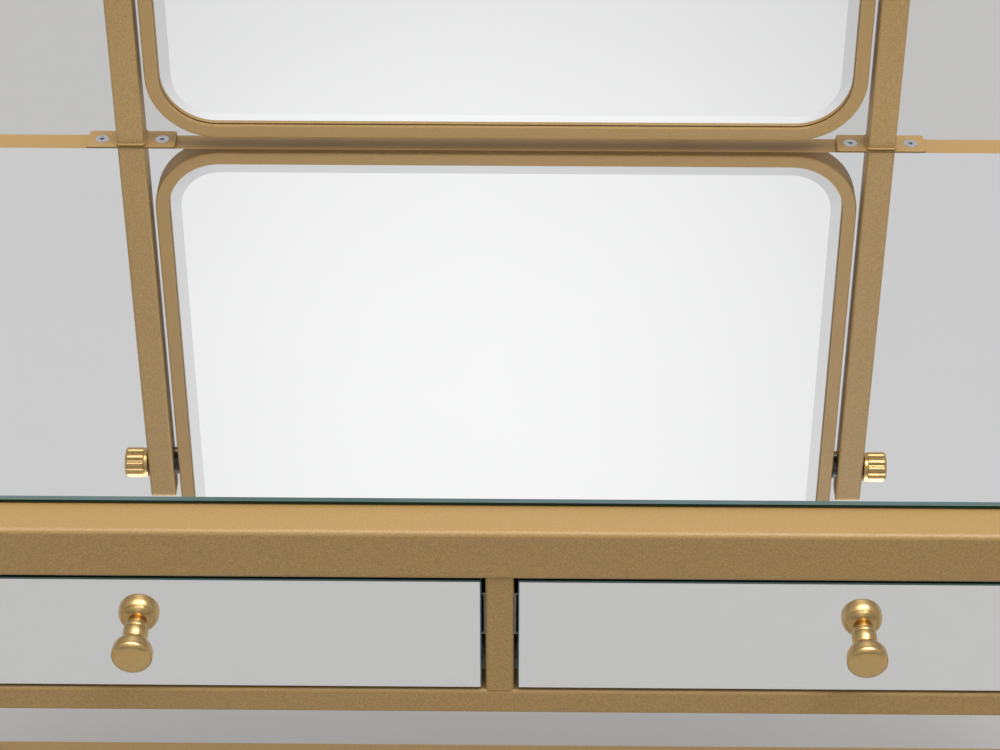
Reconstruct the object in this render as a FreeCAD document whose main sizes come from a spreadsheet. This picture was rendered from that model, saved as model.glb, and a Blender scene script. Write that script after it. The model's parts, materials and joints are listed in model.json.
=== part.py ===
import FreeCAD
import Part
import math
import os
import re
import Sketcher

# A free-standing vanity table with a tilting dressing mirror.  The welded and bolted tube frame
# carries a mirror-glass top, a white case with two drawers on full-extension slides, and two posts
# that hold the mirror.  Millimetres, +X to the user's right, +Y to the rear, +Z up; the origin is
# the middle of the footprint on the floor.

# Driving dimensions.
SIZES = {
    # tube frame
    "frame_width": 1000, "frame_front": -213, "frame_rear": 237, "frame_top": 754,
    "tube_size": 38, "tube_wall": 1.5, "tube_corner": 3.5,
    "bar_size": 25, "bar_corner": 2.5, "bar_level": 120,
    "apron_bottom": 600, "apron_height": 20, "apron_depth": 36, "apron_inset": 2,
    "mullion_width": 18, "mullion_depth": 20,
    "glide_height": 6, "glide_width": 36, "glide_plug_height": 20,
    "glide_ease": 1,
    "spigot_size": 34.6, "spigot_wall": 2, "spigot_corner": 3, "spigot_length": 60, "lock_screw_level": 690,
    "end_plug_length": 25, "plug_fit": 0.1,
    "bolt_thread": 6, "bolt_head": 10.5, "bolt_head_height": 3.3, "bolt_socket": 4,
    "rail_bolt_length": 58, "lock_screw_length": 12, "bolt_fit": 0.5,
    # table top
    "top_setback": 26, "top_glass": 4, "top_corner": 8, "top_arris": 1.7, "top_back_arris": 0.5,
    "pad_height": 0.6, "pad_width": 8, "pad_inset": 5, "board_thickness": 12, "board_gap": 1,
    # case
    "case_panel": 12, "case_divider_width": 18, "case_floor": 9, "case_back_thickness": 9,
    "case_front": -190.5, "case_gap": 0.5, "case_floor_overlap": 19,
    "case_screw_inset": 60,
    "panel_thread": 4, "panel_head": 8, "panel_socket": 2.5, "panel_screw_length": 34, "panel_fit": 0.1,
    # drawers
    "front_gap": 2.5, "front_board": 13, "front_glass": 3, "front_glass_arris": 0.8,
    "slide_space": 12.7, "slide_length": 350, "slide_level": 668, "slide_sheet": 1.2,
    "outer_height": 35, "outer_tip": 9, "inner_height": 25.4, "inner_tip": 7.5,
    "middle_height": 30.4, "middle_near_tip": 2.5, "middle_web": 5.6, "middle_far_tip": 10.5,
    "box_panel": 12, "box_bottom": 633, "box_top": 706, "box_length": 350,
    "box_screw_low": 656, "box_screw_high": 694,
    "groove_bottom": 638, "groove_depth": 6, "hardboard_sheet": 4, "groove_fit": 0.1,
    "knob_width": 26, "knob_reach": 26, "knob_neck": 12, "knob_foot": 16, "knob_foot_rim": 1.5,
    "knob_foot_height": 3.5, "knob_face": 20, "knob_bore": 15,
    "knob_thread": 4, "knob_screw_length": 28, "knob_screw_head": 8, "knob_screw_head_height": 2.5,
    "knob_screw_socket": 2.5,
    # dressing mirror
    "mirror_width": 520, "mirror_height": 600, "mirror_corner": 50, "mirror_bottom": 765,
    "mirror_depth": 18, "mirror_lip": 3, "mirror_face": 10, "mirror_side": 6,
    "pivot_depth": 223, "pivot_level": 1065,
    "looking_glass": 4, "looking_bevel": 12, "looking_bevel_drop": 0.8, "glass_fit": 1, "glass_bed": 0.2,
    "backing_thickness": 10, "backing_gap": 0.4,
    "clip_length": 19, "clip_width": 12, "clip_sheet": 1.5,
    "clip_thread": 3, "clip_head": 5.6, "clip_head_height": 2, "clip_socket": 2, "clip_screw_length": 9.5,
    "post_size": 20, "post_gap": 4, "post_top": 1090, "post_wall": 1.5, "post_corner": 2,
    "flange_width": 64, "flange_depth": 22, "flange_sheet": 4, "flange_screw_offset": 22,
    "flange_thread": 5, "flange_head": 10, "flange_socket": 3, "flange_screw_length": 14,
    "cap_height": 2, "cap_plug": 12, "cap_ease": 0.6,
    "washer_width": 18, "washer_gap": 0.2, "thin_washer_width": 14,
    "stop_radius": 14, "stop_width": 3, "stop_reach": 2.8, "stop_slot_width": 3.6,
    "stop_slot_depth": 3.2, "stop_slot_angle": 53.1,
    "stud_thread": 6, "stud_fit": 0.1, "stud_end": 254.2,
    "grip_width": 24, "grip_length": 18, "grip_gap": 1, "grip_flute": 4, "grip_collar": 3,
}

# Places worked out from the driving dimensions, as expressions.
LEFT = "-frame_width / 2"
LEFT_INNER = "-frame_width / 2 + tube_size"
FRONT_INNER = "frame_front + tube_size"
REAR_INNER = "frame_rear - tube_size"
RING_BOTTOM = "frame_top - tube_size"
APRON_TOP = "apron_bottom + apron_height"
APRON_FRONT = "frame_front + apron_inset"
APRON_FRONT_MIDDLE = f"{APRON_FRONT} + apron_depth / 2"
APRON_REAR_MIDDLE = "frame_rear - apron_inset - apron_depth / 2"
APRON_MIDDLE_LEVEL = "apron_bottom + apron_height / 2"
LEG_MIDDLE = "-frame_width / 2 + tube_size / 2"
FRONT_LEG_DEPTH = "frame_front + tube_size / 2"
REAR_LEG_DEPTH = "frame_rear - tube_size / 2"
CASE_INNER = f"{LEFT_INNER} + case_panel"
CASE_FLOOR_TOP = f"{APRON_TOP} + case_floor"
BOARD_BOTTOM = "frame_top - board_thickness"
CASE_REAR_INNER = f"{REAR_INNER} - case_back_thickness"
DIVIDER_FACE = "-case_divider_width / 2"
FRONT_FACE = APRON_FRONT
FRONT_BOARD_FACE = f"{FRONT_FACE} + front_glass"
FRONT_BACK = f"{FRONT_BOARD_FACE} + front_board"
BOX_LEFT = f"{CASE_INNER} + slide_space"
BOX_RIGHT = f"{DIVIDER_FACE} - slide_space"
BOX_REAR = f"{FRONT_BACK} + box_length"
DRAWER_MIDDLE = f"({CASE_INNER} + ({DIVIDER_FACE})) / 2"
MIRROR_BACK = "pivot_depth + mirror_depth / 2"
MIRROR_FRONT = "pivot_depth - mirror_depth / 2"
RABBET = f"{MIRROR_FRONT} + mirror_lip"
MIRROR_MIDDLE_LEVEL = "mirror_bottom + mirror_height / 2"
POST_INNER = "mirror_width / 2 + post_gap"
POST_MIDDLE = f"{POST_INNER} + post_size / 2"
POST_OUTER = f"{POST_INNER} + post_size"
FLANGE_TOP = "frame_top + flange_sheet"

# Turns that carry +Z, the way a screw head faces, to each side of the table.
X_AXIS = FreeCAD.Vector(1, 0, 0)
Y_AXIS = FreeCAD.Vector(0, 1, 0)
FACING = {
    "up": FreeCAD.Rotation(),
    "down": FreeCAD.Rotation(X_AXIS, 180),
    "left": FreeCAD.Rotation(Y_AXIS, -90),
    "right": FreeCAD.Rotation(Y_AXIS, 90),
    "front": FreeCAD.Rotation(X_AXIS, 90),
    "rear": FreeCAD.Rotation(X_AXIS, -90),
}

doc = FreeCAD.newDocument("VanityTable")
sheet = doc.addObject("Spreadsheet::Sheet", "Sizes")
for row, (alias, size) in enumerate(SIZES.items(), 1):
    sheet.set(f"A{row}", str(size))
    sheet.setAlias(f"A{row}", alias)
doc.recompute()

nodes = []


# Expressions: a word that names a size becomes a link to its cell.
def linked(text):
    return re.sub(r"[a-z]+(?:_[a-z]+)+", lambda word: f"Sizes.{word.group()}", str(text))


def bind(item, prop, text):
    item.setExpression(prop, linked(text))


def number(text):
    return float(sheet.evalExpression(linked(text)))


def negative(span):
    low, high = span
    return (f"-({high})", f"-({low})")


def inset(span, amount):
    low, high = span
    return (f"{low} + {amount}", f"{high} - ({amount})")


# Outlines, each a function that draws itself in a sketch and binds its sizes.
def pin(sketch, geometry, end, place):
    for letter, text in zip("XY", place):
        distance = Sketcher.Constraint(f"Distance{letter}", -1, 1, geometry, end, number(text))
        index = sketch.addConstraint(distance)
        bind(sketch, f"Constraints[{index}]", text)


def polygon(*corners):
    def draw(sketch):
        points = [FreeCAD.Vector(number(x), number(y), 0) for x, y in corners]
        first = sketch.GeometryCount
        count = len(points)
        for index, point in enumerate(points):
            sketch.addGeometry(Part.LineSegment(point, points[(index + 1) % count]))
        for index, corner in enumerate(corners):
            after = first + (index + 1) % count
            sketch.addConstraint(Sketcher.Constraint("Coincident", first + index, 2, after, 1))
            pin(sketch, first + index, 1, corner)
    return draw


def rectangle(across, upward):
    (left, right), (low, high) = across, upward
    return polygon((left, low), (right, low), (right, high), (left, high))


def rounded_rectangle(across, upward, radius):
    def draw(sketch):
        left, right, low, high, bend = (number(text) for text in (*across, *upward, radius))
        first = sketch.GeometryCount
        corners = [(right, low, -1, 1), (right, high, -1, -1), (left, high, 1, -1), (left, low, 1, 1)]
        ends = [(left + bend, low)]
        for index, (x, y, into_x, into_y) in enumerate(corners):
            before = (x + into_x * bend, y) if index % 2 == 0 else (x, y + into_y * bend)
            after = (x, y + into_y * bend) if index % 2 == 0 else (x + into_x * bend, y)
            start = ends[-1]
            sketch.addGeometry(Part.LineSegment(FreeCAD.Vector(*start, 0), FreeCAD.Vector(*before, 0)))
            middle = FreeCAD.Vector(x + into_x * bend, y + into_y * bend, 0)
            ring = Part.Circle(middle, FreeCAD.Vector(0, 0, 1), bend)
            turn = -math.pi / 2 + index * math.pi / 2
            sketch.addGeometry(Part.ArcOfCircle(ring, turn, turn + math.pi / 2))
            ends.append(after)
        for side in range(4):
            line = first + 2 * side
            sketch.addConstraint(Sketcher.Constraint("Tangent", line, 2, line + 1, 1))
            sketch.addConstraint(Sketcher.Constraint("Tangent", line + 1, 2, first + (2 * side + 2) % 8, 1))
            sketch.addConstraint(Sketcher.Constraint("Vertical" if side % 2 else "Horizontal", line))
            index = sketch.addConstraint(Sketcher.Constraint("Radius", line + 1, bend))
            bind(sketch, f"Constraints[{index}]", radius)
            letter, place = (("Y", low), ("X", right), ("Y", high), ("X", left))[side]
            index = sketch.addConstraint(Sketcher.Constraint(f"Distance{letter}", -1, 1, line, 1, place))
            bind(sketch, f"Constraints[{index}]", (upward[0], across[1], upward[1], across[0])[side])
    return draw


def circle(centre, diameter):
    def draw(sketch):
        middle = FreeCAD.Vector(number(centre[0]), number(centre[1]), 0)
        ring = sketch.GeometryCount
        sketch.addGeometry(Part.Circle(middle, FreeCAD.Vector(0, 0, 1), number(diameter) / 2))
        index = sketch.addConstraint(Sketcher.Constraint("Diameter", ring, number(diameter)))
        bind(sketch, f"Constraints[{index}]", diameter)
        pin(sketch, ring, 3, centre)
    return draw


def hexagon(across_flats):
    reach = f"({across_flats}) / sqrt(3)"
    corners = [(f"{reach} * cos({60 * turn})", f"{reach} * sin({60 * turn})") for turn in range(6)]
    return polygon(*corners)


# PartDesign steps.
def new_sketch(host, plane, offset, outlines):
    sketch = host.newObject("Sketcher::SketchObject", f"{host.Name}_sketch")
    support = next(item for item in host.Origin.OriginFeatures if item.Role == plane)
    sketch.AttachmentSupport = (support, [""])
    sketch.MapMode = "FlatFace"
    bind(sketch, "AttachmentOffset.Base.z", offset)
    for draw in outlines:
        draw(sketch)
    return sketch


def new_feature(host, kind, sketch):
    feature = host.newObject(f"PartDesign::{kind}", f"{host.Name}_{kind.lower()}")
    feature.Profile = sketch
    return feature


def extrude(host, kind, plane, span, *outlines):
    # The XZ plane's normal is -Y, so a span along Y is measured the other way.
    start, end = negative(span) if plane == "XZ_Plane" else span
    before = host.Shape.Volume if kind == "Pocket" else 0
    feature = new_feature(host, kind, new_sketch(host, plane, start, outlines))
    feature.Reversed = kind == "Pocket"
    bind(feature, "Length", f"({end}) - ({start})")
    doc.recompute()
    if kind == "Pocket" and feature.Shape.Volume > before - 0.01:
        raise ValueError(f"{host.Name}: a pocket cut nothing")
    return feature


def pad(host, plane, span, *outlines):
    return extrude(host, "Pad", plane, span, *outlines)


def pocket(host, plane, span, *outlines):
    return extrude(host, "Pocket", plane, span, *outlines)


def dress(host, kind, wanted, size, second=None):
    base = host.Tip
    edges = [f"Edge{index}" for index, edge in enumerate(base.Shape.Edges, 1) if wanted(edge.BoundBox)]
    feature = host.newObject(f"PartDesign::{kind}", f"{host.Name}_{kind.lower()}")
    feature.Base = (base, edges)
    bind(feature, "Radius" if kind == "Fillet" else "Size", size)
    if second:
        feature.ChamferType = "Two distances"
        bind(feature, "Size2", second)
    doc.recompute()
    return feature


def new_body(name):
    return doc.addObject("PartDesign::Body", name)


def prism(name, plane, span, *outlines):
    host = new_body(name)
    pad(host, plane, span, *outlines)
    return host


def tube(name, plane, across, upward, span, wall="tube_wall", corner="tube_corner"):
    bore = rounded_rectangle(inset(across, wall), inset(upward, wall), f"{corner} - {wall}")
    return prism(name, plane, span, rounded_rectangle(across, upward, corner), bore)


# Whole objects: boxes, cuts, groups, copies and mirror images.
def box(name, *spans):
    block = doc.addObject("Part::Box", name)
    for side, letter, (low, high) in zip(("Length", "Width", "Height"), "xyz", spans):
        bind(block, side, f"({high}) - ({low})")
        bind(block, f"Placement.Base.{letter}", low)
    return block


def cut(name, base, tool):
    result = doc.addObject("Part::Cut", name)
    result.Base = base
    result.Tool = tool
    return result


def group(name, members):
    result = doc.addObject("Part::Compound", name)
    result.Links = members
    return result


def copies(name, master, places):
    members = []
    for *place, facing in places:
        link = doc.addObject("App::Link", f"{name}_copy")
        link.setLink(master)
        link.Placement.Rotation = FACING[facing]
        for letter, text in zip("xyz", place):
            bind(link, f"Placement.Base.{letter}", text)
        members.append(link)
    return group(name, members)


def mirrored(name, source, plane="0"):
    image = doc.addObject("Part::Mirroring", name)
    image.Source = source
    image.Normal = X_AXIS
    bind(image, "Base.x", plane)
    return image


def keep(item):
    nodes.append(item)
    return item


def keep_pair(make, name, left="left", right="right"):
    keep(mirrored(name.format(right), keep(make(name.format(left)))))


def both_sides(places):
    opposite = {"left": "right", "right": "left"}
    others = [(f"-({x})", *rest, opposite.get(facing, facing)) for x, *rest, facing in places]
    return [*places, *others]


# Fasteners, all made with the head's seat at the origin and the shank along -Z.
def button_screw(name, thread, length, head, height, socket):
    host = new_body(name)
    pad(host, "XY_Plane", (f"-({length})", "0"), circle(("0", "0"), thread))
    pad(host, "XY_Plane", ("0", height), circle(("0", "0"), head))
    top = number(height)
    dress(host, "Fillet", lambda bound: bound.ZMin > top - 0.01, f"{height} * 0.6")
    pocket(host, "XY_Plane", (f"{height} * 0.4", height), hexagon(socket))
    return host


def flat_screw(name, thread, length, head, grown="0", socket=None):
    host = new_body(name)
    shank, rim = f"({thread} / 2 + {grown})", f"({head} / 2 + {grown})"
    profile = polygon(("0", f"-({length}) - {grown}"), (shank, f"-({length}) - {grown}"),
                      (shank, f"{shank} - {rim}"), (rim, "0"), ("0", "0"))
    feature = new_feature(host, "Revolution", new_sketch(host, "XZ_Plane", "0", [profile]))
    feature.ReferenceAxis = (feature.Profile[0], ["V_Axis"])
    doc.recompute()
    if socket:
        pocket(host, "XY_Plane", (f"-({head}) / 5", "0"), hexagon(socket))
    return host


# Tube frame -------------------------------------------------------------------------------------

# Top ring: four mitred rails.
def top_rail_across(name, outer, inner):
    across = (outer, inner) if number(outer) < number(inner) else (inner, outer)
    rail = tube(name, "YZ_Plane", across, (RING_BOTTOM, "frame_top"), (LEFT, "frame_width / 2"))
    corner = polygon((LEFT, outer), (LEFT_INNER, inner), (LEFT, inner))
    other = polygon(("frame_width / 2", outer), (f"-({LEFT_INNER})", inner), ("frame_width / 2", inner))
    pocket(rail, "XY_Plane", (RING_BOTTOM, "frame_top"), corner, other)
    return rail


def top_rail_along(name):
    rail = tube(name, "XZ_Plane", (LEFT, LEFT_INNER), (RING_BOTTOM, "frame_top"),
                ("frame_front", "frame_rear"))
    corner = polygon((LEFT, "frame_front"), (LEFT_INNER, FRONT_INNER), (LEFT_INNER, "frame_front"))
    other = polygon((LEFT, "frame_rear"), (LEFT_INNER, REAR_INNER), (LEFT_INNER, "frame_rear"))
    pocket(rail, "XY_Plane", (RING_BOTTOM, "frame_top"), corner, other)
    return rail


keep(top_rail_across("top_rail_front", "frame_front", FRONT_INNER))
top_rail_rear = keep(top_rail_across("top_rail_rear", "frame_rear", REAR_INNER))
keep_pair(top_rail_along, "top_rail_{}")

# The posts' flange screws pass through the rear rail's upper wall.
for side in (-1, 1):
    for step in (-1, 1):
        place = (f"{side} * ({POST_MIDDLE}) + {step} * flange_screw_offset", "pivot_depth")
        hole = circle(place, "flange_thread + bolt_fit")
        pocket(top_rail_rear, "XY_Plane", ("frame_top - tube_wall * 2", "frame_top"), hole)


# Legs, drilled for the rail bolts in X and the lock screws in Y.
def leg(name, depth, bolt_places, lock_span):
    across = (LEFT, LEFT_INNER)
    upright = tube(name, "XY_Plane", across, (f"{depth} - tube_size / 2", f"{depth} + tube_size / 2"),
                   ("glide_height", RING_BOTTOM))
    bolt_holes = [circle(place, "bolt_thread + bolt_fit") for place in bolt_places]
    pocket(upright, "YZ_Plane", across, *bolt_holes)
    pocket(upright, "XZ_Plane", lock_span, circle((LEG_MIDDLE, "lock_screw_level"), "bolt_thread + bolt_fit"))
    return upright


FRONT_BOLTS = [(APRON_FRONT_MIDDLE, APRON_MIDDLE_LEVEL)]
REAR_BOLTS = [(APRON_REAR_MIDDLE, APRON_MIDDLE_LEVEL), (REAR_LEG_DEPTH, "bar_level")]
FRONT_LOCK = (f"{FRONT_INNER} - 2 * tube_wall", FRONT_INNER)
REAR_LOCK = (REAR_INNER, f"{REAR_INNER} + 2 * tube_wall")
keep_pair(lambda name: leg(name, FRONT_LEG_DEPTH, FRONT_BOLTS, FRONT_LOCK), "leg_front_{}")
keep_pair(lambda name: leg(name, REAR_LEG_DEPTH, REAR_BOLTS, REAR_LOCK), "leg_rear_{}")

LEG_PLACES = both_sides([(LEG_MIDDLE, FRONT_LEG_DEPTH, "0", "up"), (LEG_MIDDLE, REAR_LEG_DEPTH, "0", "up")])
HALF_SPIGOT = ("-spigot_size / 2", "spigot_size / 2")
HALF_GLIDE = ("-glide_width / 2", "glide_width / 2")

# Spigots welded under the ring's corners, inside the legs, and the screws that lock them.
spigot = tube("spigot", "XY_Plane", HALF_SPIGOT, HALF_SPIGOT, (f"{RING_BOTTOM} - spigot_length", RING_BOTTOM),
              "spigot_wall", "spigot_corner")
pocket(spigot, "XZ_Plane", HALF_SPIGOT, circle(("0", "lock_screw_level"), "bolt_thread + bolt_fit / 2"))
keep(copies("leg_spigots", spigot, LEG_PLACES))

lock_screw = button_screw("lock_screw", "bolt_thread", "lock_screw_length", "bolt_head", "bolt_head_height",
                          "bolt_socket")
keep(copies("leg_lock_screws", lock_screw, both_sides([
    (LEG_MIDDLE, FRONT_INNER, "lock_screw_level", "rear"),
    (LEG_MIDDLE, REAR_INNER, "lock_screw_level", "front"),
])))

# Foot glides: a plate under the tube and a plug inside it.
glide = prism("glide", "XY_Plane", ("0", "glide_height"),
              rounded_rectangle(HALF_GLIDE, HALF_GLIDE, "tube_corner"))
pad(glide, "XY_Plane", ("glide_height", "glide_height + glide_plug_height"),
    rounded_rectangle(HALF_SPIGOT, HALF_SPIGOT, "spigot_corner"))
dress(glide, "Chamfer", lambda bound: bound.ZMax < 0.01, "glide_ease")
keep(copies("foot_glides", glide, LEG_PLACES))

# Lower bars: one on each side welded between the legs, one bolted across the rear.
BAR_SPAN = ("bar_level - bar_size / 2", "bar_level + bar_size / 2")
REAR_BAR_SPAN = (f"{REAR_LEG_DEPTH} - bar_size / 2", f"{REAR_LEG_DEPTH} + bar_size / 2")
INNER_SPAN = (LEFT_INNER, f"-({LEFT_INNER})")
SIDE_BAR_ACROSS = (f"{LEG_MIDDLE} - bar_size / 2", f"{LEG_MIDDLE} + bar_size / 2")


def bar(name, plane, across, upward, span):
    return tube(name, plane, across, upward, span, "tube_wall", "bar_corner")


def side_stretcher(name):
    return bar(name, "XZ_Plane", SIDE_BAR_ACROSS, BAR_SPAN, (FRONT_INNER, REAR_INNER))


keep_pair(side_stretcher, "side_stretcher_{}")
keep(bar("rear_stretcher", "YZ_Plane", REAR_BAR_SPAN, BAR_SPAN, INNER_SPAN))

# Apron rails that carry the case, with the mullion between the drawers.
APRON_SPAN = ("apron_bottom", APRON_TOP)
APRON_FRONT_SPAN = (APRON_FRONT, f"{APRON_FRONT} + apron_depth")
APRON_REAR_SPAN = ("frame_rear - apron_inset - apron_depth", "frame_rear - apron_inset")
keep(bar("apron_rail_front", "YZ_Plane", APRON_FRONT_SPAN, APRON_SPAN, INNER_SPAN))
keep(bar("apron_rail_rear", "YZ_Plane", APRON_REAR_SPAN, APRON_SPAN, INNER_SPAN))
keep(bar("apron_mullion", "XY_Plane", ("-mullion_width / 2", "mullion_width / 2"),
         (APRON_FRONT, f"{APRON_FRONT} + mullion_depth"), (APRON_TOP, RING_BOTTOM)))


# Threaded plugs in the ends of the bolted rails, and their bolts through the legs.
def end_plug(name, depth_span, level_span):
    margin = "tube_wall + plug_fit"
    span = (LEFT_INNER, f"{LEFT_INNER} + end_plug_length")
    outline = rounded_rectangle(inset(depth_span, margin), inset(level_span, margin),
                                "bar_corner - tube_wall")
    plug = prism(name, "YZ_Plane", span, outline)
    middle = tuple(f"({low} + {high}) / 2" for low, high in (depth_span, level_span))
    pocket(plug, "YZ_Plane", span, circle(middle, "bolt_thread + stud_fit"))
    return plug


plugs = [end_plug("apron_plug_front", APRON_FRONT_SPAN, APRON_SPAN),
         end_plug("apron_plug_rear", APRON_REAR_SPAN, APRON_SPAN),
         end_plug("stretcher_plug", REAR_BAR_SPAN, BAR_SPAN)]
plug_images = [mirrored(f"{plug.Name}_image", plug) for plug in plugs]
keep(group("rail_end_plugs", plugs + plug_images))

rail_bolt = button_screw("rail_bolt", "bolt_thread", "rail_bolt_length", "bolt_head", "bolt_head_height",
                         "bolt_socket")
BOLT_PLACES = [(LEFT, depth, level, "left") for depth, level in FRONT_BOLTS + REAR_BOLTS]
keep(copies("rail_bolts", rail_bolt, both_sides(BOLT_PLACES)))

# Table top --------------------------------------------------------------------------------------

GLASS_ACROSS = (f"{LEFT} + top_setback", "frame_width / 2 - top_setback")
GLASS_UPWARD = ("frame_front + top_setback", "frame_rear - top_setback")
GLASS_BOTTOM = "frame_top + pad_height"
GLASS_TOP = f"{GLASS_BOTTOM} + top_glass"
mirror_top = keep(prism("mirror_top", "XY_Plane", (GLASS_BOTTOM, GLASS_TOP),
                        rounded_rectangle(GLASS_ACROSS, GLASS_UPWARD, "top_corner")))
dress(mirror_top, "Chamfer", lambda bound: bound.ZMin > number(GLASS_TOP) - 0.01, "top_arris")
dress(mirror_top, "Chamfer", lambda bound: bound.ZMax < number(GLASS_BOTTOM) + 0.01, "top_back_arris")

glass_pad = prism("glass_pad", "XY_Plane", ("0", "pad_height"), circle(("0", "0"), "pad_width"))
PAD_LEFT = f"{GLASS_ACROSS[0]} + pad_inset"
PAD_FRONT = f"{GLASS_UPWARD[0]} + pad_inset"
PAD_REAR = f"{GLASS_UPWARD[1]} - pad_inset"
PAD_MIDDLE = "(frame_front + frame_rear) / 2"
EDGE_PADS = [(share, depth) for share in (1, 0.5) for depth in (PAD_FRONT, PAD_REAR)]
BOARD_PADS = [(0.45, f"{PAD_MIDDLE} - frame_width * 0.075"), (0.45, f"{PAD_MIDDLE} + frame_width * 0.075")]
SIDE_PLACES = [(f"({PAD_LEFT}) * {share}", depth, "frame_top", "up")
               for share, depth in EDGE_PADS + [(1, PAD_MIDDLE)] + BOARD_PADS]
CENTRE_PLACES = [("0", PAD_FRONT, "frame_top", "up"), ("0", PAD_REAR, "frame_top", "up")]
keep(copies("glass_pads", glass_pad, both_sides(SIDE_PLACES) + CENTRE_PLACES))

# Case -------------------------------------------------------------------------------------------

# Countersunk screws rise through the floor and drop through the board into the uprights.
panel_screw = flat_screw("panel_screw", "panel_thread", "panel_screw_length", "panel_head",
                         socket="panel_socket")
panel_hole = flat_screw("panel_hole", "panel_thread", "panel_screw_length", "panel_head", "panel_fit")
SIDE_SCREW = f"{LEFT_INNER} + case_panel / 2"
CASE_SCREW_DEPTHS = ("case_front + case_screw_inset", f"{CASE_REAR_INNER} - case_screw_inset")
SIDE_SCREWS = [(SIDE_SCREW, depth, level, facing) for depth in CASE_SCREW_DEPTHS
               for level, facing in ((APRON_TOP, "down"), ("frame_top", "up"))]
DIVIDER_SCREWS = [("0", depth, level, facing) for _, depth, level, facing in SIDE_SCREWS]
CASE_SCREWS = both_sides(SIDE_SCREWS) + DIVIDER_SCREWS
case_holes = copies("case_holes", panel_hole, CASE_SCREWS)

FLOOR_ACROSS = (f"{LEFT_INNER} + case_gap", f"-({LEFT_INNER}) - case_gap")
floor_panel = box("floor_panel", FLOOR_ACROSS, ("case_front", f"{REAR_INNER} + case_floor_overlap"),
                  (APRON_TOP, CASE_FLOOR_TOP))
keep(cut("case_bottom", floor_panel, case_holes))
board = box("board", inset(INNER_SPAN, "board_gap"), inset((FRONT_INNER, REAR_INNER), "board_gap"),
            (BOARD_BOTTOM, "frame_top"))
keep(cut("sub_top_board", board, case_holes))
keep(box("case_back", (CASE_INNER, f"-({CASE_INNER})"), (CASE_REAR_INNER, REAR_INNER),
         (CASE_FLOOR_TOP, BOARD_BOTTOM)))


# An upright is stepped at the top front, where it passes behind the ring's front rail.
def upright_panel(name, across, rear):
    step_depth, step_level = f"{FRONT_INNER} + case_gap", f"{RING_BOTTOM} - case_gap"
    outline = polygon(("case_front", CASE_FLOOR_TOP), (rear, CASE_FLOOR_TOP), (rear, BOARD_BOTTOM),
                      (step_depth, BOARD_BOTTOM), (step_depth, step_level), ("case_front", step_level))
    panel = prism(f"{name}_panel", "YZ_Plane", across, outline)
    return cut(name, panel, case_holes)


keep_pair(lambda name: upright_panel(name, (LEFT_INNER, CASE_INNER), REAR_INNER), "case_side_{}")
keep(upright_panel("case_divider", (DIVIDER_FACE, f"-({DIVIDER_FACE})"), CASE_REAR_INNER))
keep(copies("case_screws", panel_screw, CASE_SCREWS))

# Drawers ----------------------------------------------------------------------------------------

# Every piece is drawn for the left drawer, and the right drawer is its mirror image.
FRONT_ACROSS = (f"{LEFT_INNER} + front_gap", f"{DIVIDER_FACE} - front_gap")
FRONT_UPWARD = (f"{APRON_TOP} + front_gap", f"{RING_BOTTOM} - front_gap")
BOX_SPAN = (FRONT_BACK, BOX_REAR)
BOX_INNER = (f"{BOX_LEFT} + box_panel", f"{BOX_RIGHT} - box_panel")
GROOVE_SPAN = ("groove_bottom - groove_fit", "groove_bottom + hardboard_sheet + groove_fit")
GROOVE_ACROSS = (f"{BOX_INNER[0]} - groove_depth", f"{BOX_INNER[1]} + groove_depth")
BACK_SPAN = (f"{BOX_REAR} - box_panel", BOX_REAR)
BACK_UPWARD = ("groove_bottom + hardboard_sheet + 2 * groove_fit", "box_top")
BOX_SCREW_LEVELS = ("box_screw_low", "box_screw_high")

# Screws hold the front to the sides' ends and the sides to the back; heads lie flush.
FRONT_SCREWS = [(across, FRONT_BOARD_FACE, level, "front") for level in BOX_SCREW_LEVELS
                for across in (f"{BOX_LEFT} + box_panel / 2", f"{BOX_RIGHT} - box_panel / 2")]
BACK_SCREWS = [(across, f"{BOX_REAR} - box_panel / 2", level, facing) for level in BOX_SCREW_LEVELS
               for across, facing in ((BOX_LEFT, "left"), (BOX_RIGHT, "right"))]
box_holes = copies("box_holes", panel_hole, FRONT_SCREWS + BACK_SCREWS)
knob_drill = prism("knob_drill", "XZ_Plane", (f"{FRONT_FACE} - knob_bore", f"{FRONT_BACK} + 1"),
                   circle((DRAWER_MIDDLE, "slide_level"), "knob_thread + panel_fit"))


def drawer_front(name):
    board_host = prism(f"{name}_board", "XZ_Plane", (FRONT_BOARD_FACE, FRONT_BACK),
                       rectangle(FRONT_ACROSS, FRONT_UPWARD))
    pocket(board_host, "XZ_Plane", (f"{FRONT_BACK} - groove_depth", FRONT_BACK),
           rectangle(GROOVE_ACROSS, GROOVE_SPAN))
    return cut(name, board_host, group(f"{name}_holes", [box_holes, knob_drill]))


def drawer_front_mirror(name):
    host = prism(f"{name}_sheet", "XZ_Plane", (FRONT_FACE, FRONT_BOARD_FACE),
                 rectangle(FRONT_ACROSS, FRONT_UPWARD))
    dress(host, "Chamfer", lambda bound: bound.YMax < number(FRONT_FACE) + 0.01, "front_glass_arris")
    return cut(name, host, knob_drill)


def drawer_sides(name):
    left_side = prism(f"{name}_board", "XZ_Plane", BOX_SPAN,
                      rectangle((BOX_LEFT, BOX_INNER[0]), ("box_bottom", "box_top")))
    pocket(left_side, "XZ_Plane", BOX_SPAN, rectangle((GROOVE_ACROSS[0], BOX_INNER[0]), GROOVE_SPAN))
    right_side = mirrored(f"{name}_board_image", left_side, DRAWER_MIDDLE)
    return cut(name, group(f"{name}_pair", [left_side, right_side]), box_holes)


def drawer_back(name):
    panel = box(f"{name}_board", BOX_INNER, BACK_SPAN, BACK_UPWARD)
    return cut(name, panel, box_holes)


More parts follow.
